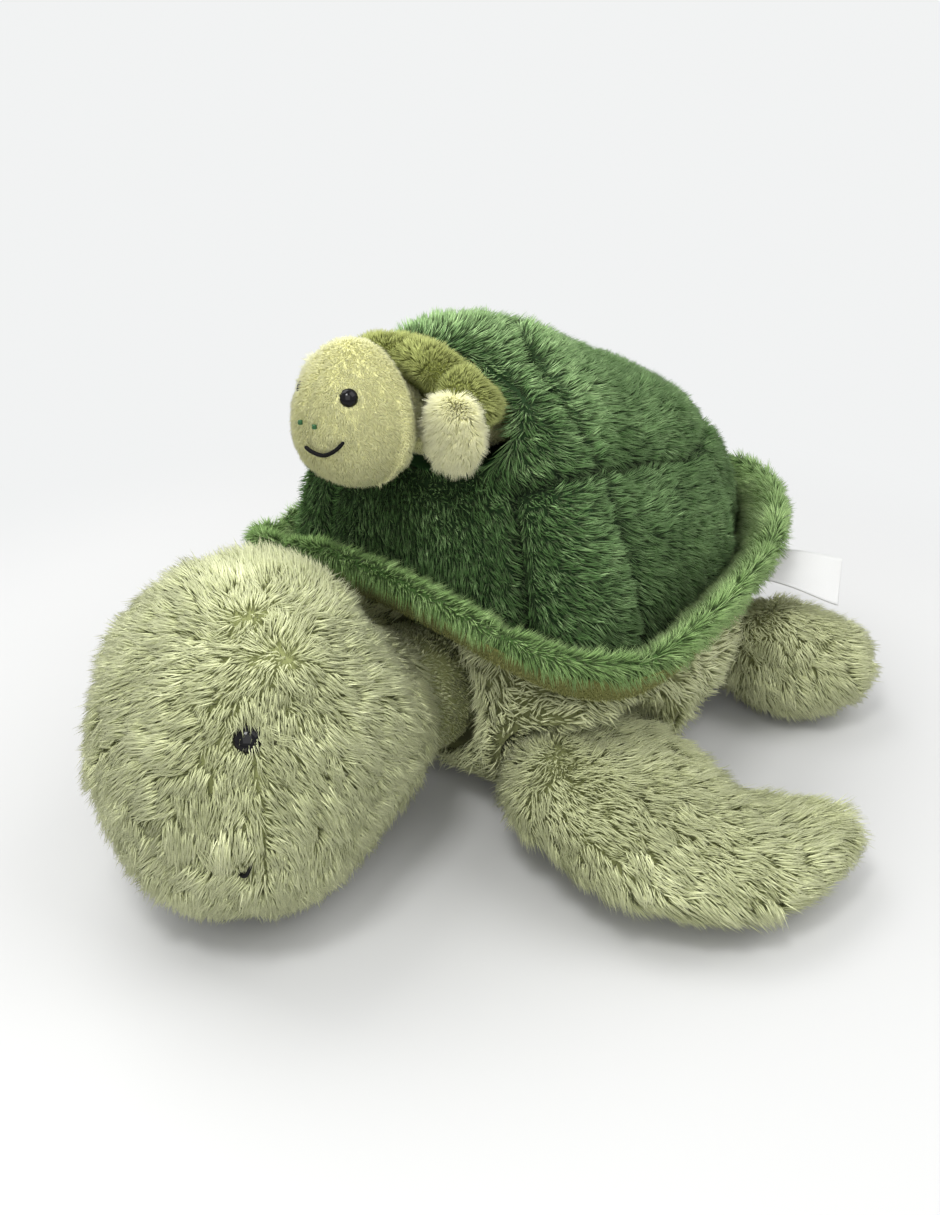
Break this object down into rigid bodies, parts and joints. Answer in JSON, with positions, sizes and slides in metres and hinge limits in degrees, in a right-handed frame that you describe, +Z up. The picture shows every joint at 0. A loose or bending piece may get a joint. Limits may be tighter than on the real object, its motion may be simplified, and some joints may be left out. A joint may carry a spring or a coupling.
{
  "type": "plush turtle",
  "caption": "Long-pile plush sea turtle lying flat, with a quilted domed shell, a stuffed shell rim, and a small soft turtle that slides out of a pocket in the shell.",
  "frame": {"origin": "on the floor under the middle of the toy's bounding box", "axes": "+X to the turtle's left, +Y towards its tail, +Z up"},
  "size_m": [0.4228, 0.4288, 0.2318],
  "materials": {
    "sage_plush": "long pile",
    "green_plush": "long pile",
    "rim_plush": "long pile",
    "olive_velour": "short pile",
    "white_fibre": "loose polyester fibre",
    "lining_cloth": "woven",
    "pale_plush": "short pile",
    "moss_plush": "short pile",
    "black_gloss_plastic": "polished",
    "white_nylon": "moulded",
    "black_thread": "twisted thread",
    "green_thread": "twisted thread",
    "white_ribbon": "woven satin ribbon"
  },
  "bodies": {
    "torso": {"body_skin": "sage_plush", "body_filling": "white_fibre", "shell_cover": "green_plush", "shell_wadding": "white_fibre", "pocket_lining": "lining_cloth", "rim_cover": "rim_plush", "rim_underside": "olive_velour", "rim_wadding": "white_fibre", "sewn_label": "white_ribbon"},
    "neck": {"neck_filling": "white_fibre"},
    "head": {"head_skin": "sage_plush", "head_filling": "white_fibre", "eye_left": "black_gloss_plastic", "eye_right": "black_gloss_plastic", "eye_left_washer": "white_nylon", "eye_right_washer": "white_nylon", "mouth_stitches": "black_thread"},
    "front_flipper_left": {"front_flipper_left_skin": "sage_plush", "front_flipper_left_filling": "white_fibre"},
    "front_flipper_right": {"front_flipper_right_skin": "sage_plush", "front_flipper_right_filling": "white_fibre"},
    "rear_flipper_left": {"rear_flipper_left_skin": "sage_plush", "rear_flipper_left_filling": "white_fibre"},
    "rear_flipper_right": {"rear_flipper_right_skin": "sage_plush", "rear_flipper_right_filling": "white_fibre"},
    "young_turtle": {"young_body_skin": "pale_plush", "young_body_filling": "white_fibre", "young_shell_cover": "moss_plush", "young_shell_rim": "moss_plush", "young_rear_flipper_left": "pale_plush", "young_rear_flipper_right": "pale_plush"},
    "young_head": {"young_head_skin": "pale_plush", "young_head_filling": "white_fibre", "young_eye_left": "black_gloss_plastic", "young_eye_right": "black_gloss_plastic", "young_eye_left_washer": "white_nylon", "young_eye_right_washer": "white_nylon", "young_nostril_stitches_left": "green_thread", "young_nostril_stitches_right": "green_thread", "young_smile_stitches": "black_thread"},
    "young_flipper_left": {"young_front_flipper_left_skin": "pale_plush", "young_front_flipper_left_filling": "white_fibre"},
    "young_flipper_right": {"young_front_flipper_right_skin": "pale_plush", "young_front_flipper_right_filling": "white_fibre"}
  },
  "joints": [
    {"name": "head_nod", "type": "hinge", "parent": "torso", "child": "neck", "pos_m": [0, -0.0505, 0.057], "axis": [-1, 0, 0], "range_deg": [-12, 0]},
    {"name": "head_turn", "type": "hinge", "parent": "neck", "child": "head", "pos_m": [0, -0.0505, 0.057], "axis": [0, 0, 1], "range_deg": [-15, 15]},
    {"name": "front_flipper_left_flap", "type": "hinge", "parent": "torso", "child": "front_flipper_left", "pos_m": [0.083, -0.0345, 0.042], "axis": [0.38, -0.924, 0.0436], "range_deg": [-10, 20]},
    {"name": "front_flipper_right_flap", "type": "hinge", "parent": "torso", "child": "front_flipper_right", "pos_m": [-0.083, -0.0345, 0.042], "axis": [0.38, 0.924, -0.0436], "range_deg": [-10, 20]},
    {"name": "rear_flipper_left_flap", "type": "hinge", "parent": "torso", "child": "rear_flipper_left", "pos_m": [0.066, 0.1275, 0.034], "axis": [0.5408, -0.8411, 0.0088], "range_deg": [-15, 5]},
    {"name": "rear_flipper_right_flap", "type": "hinge", "parent": "torso", "child": "rear_flipper_right", "pos_m": [-0.066, 0.1275, 0.034], "axis": [0.5408, 0.8411, -0.0088], "range_deg": [-15, 5]},
    {"name": "young_turtle_slide", "type": "slide", "parent": "torso", "child": "young_turtle", "axis": [0, -0.9903, 0.1392], "range_m": [0, 0.07]},
    {"name": "young_head_nod", "type": "hinge", "parent": "young_turtle", "child": "young_head", "pos_m": [-0.003, -0.0585, 0.197], "axis": [-1, 0, 0], "range_deg": [-15, 8]},
    {"name": "young_flipper_left_flap", "type": "hinge", "parent": "young_turtle", "child": "young_flipper_left", "pos_m": [0.0375, -0.06, 0.205], "axis": [0, -1, 0], "range_deg": [0, 60]},
    {"name": "young_flipper_right_flap", "type": "hinge", "parent": "young_turtle", "child": "young_flipper_right", "pos_m": [-0.0375, -0.06, 0.205], "axis": [0, 1, 0], "range_deg": [0, 60]}
  ]
}
